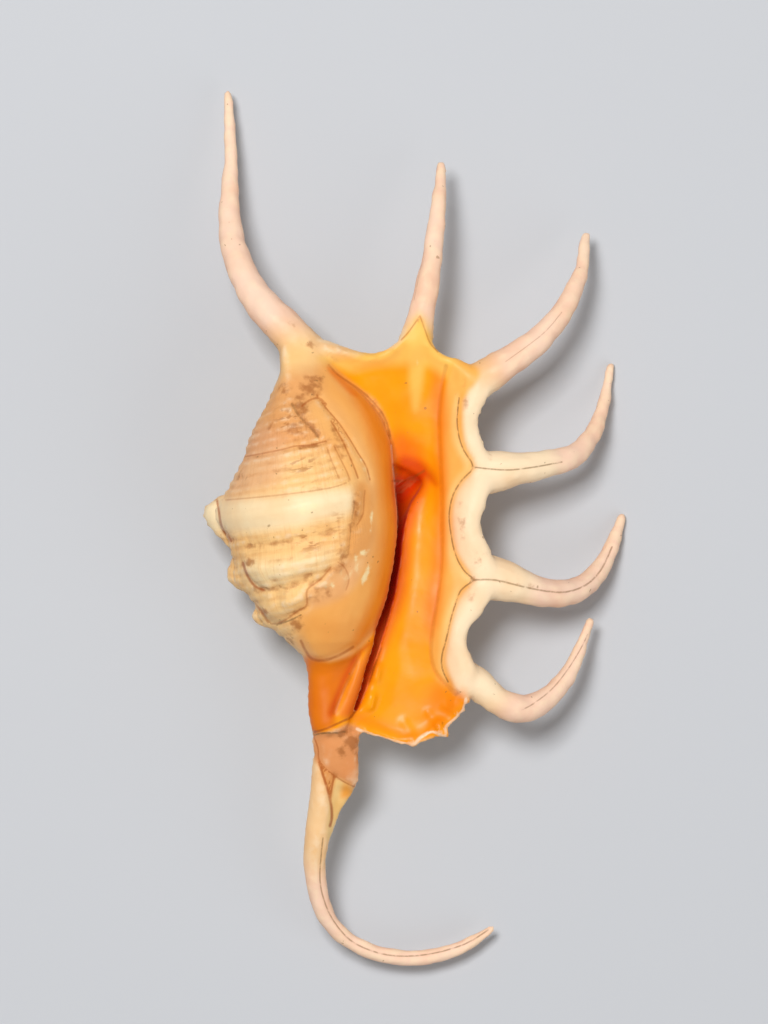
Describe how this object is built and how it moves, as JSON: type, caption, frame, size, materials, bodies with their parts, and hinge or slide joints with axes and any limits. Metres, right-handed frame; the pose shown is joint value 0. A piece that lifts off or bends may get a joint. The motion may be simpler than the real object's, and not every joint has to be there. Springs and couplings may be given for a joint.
{
  "type": "orange spider conch shell",
  "caption": "Spider conch sea shell with a glazed orange lip and curved digits, resting on its back with the opening up.",
  "frame": {"origin": "middle of the bottom of the shell's box, on the surface that it rests on", "axes": "+Y towards the spire, +Z out of the opening, +X towards the outer lip"},
  "size_m": [0.0724, 0.1502, 0.0335],
  "materials": {
    "shell": "chalky cream outside with spiral cords, and a smooth orange glaze round the opening"
  },
  "bodies": {
    "root": {"shell": "shell"}
  },
  "joints": []
}
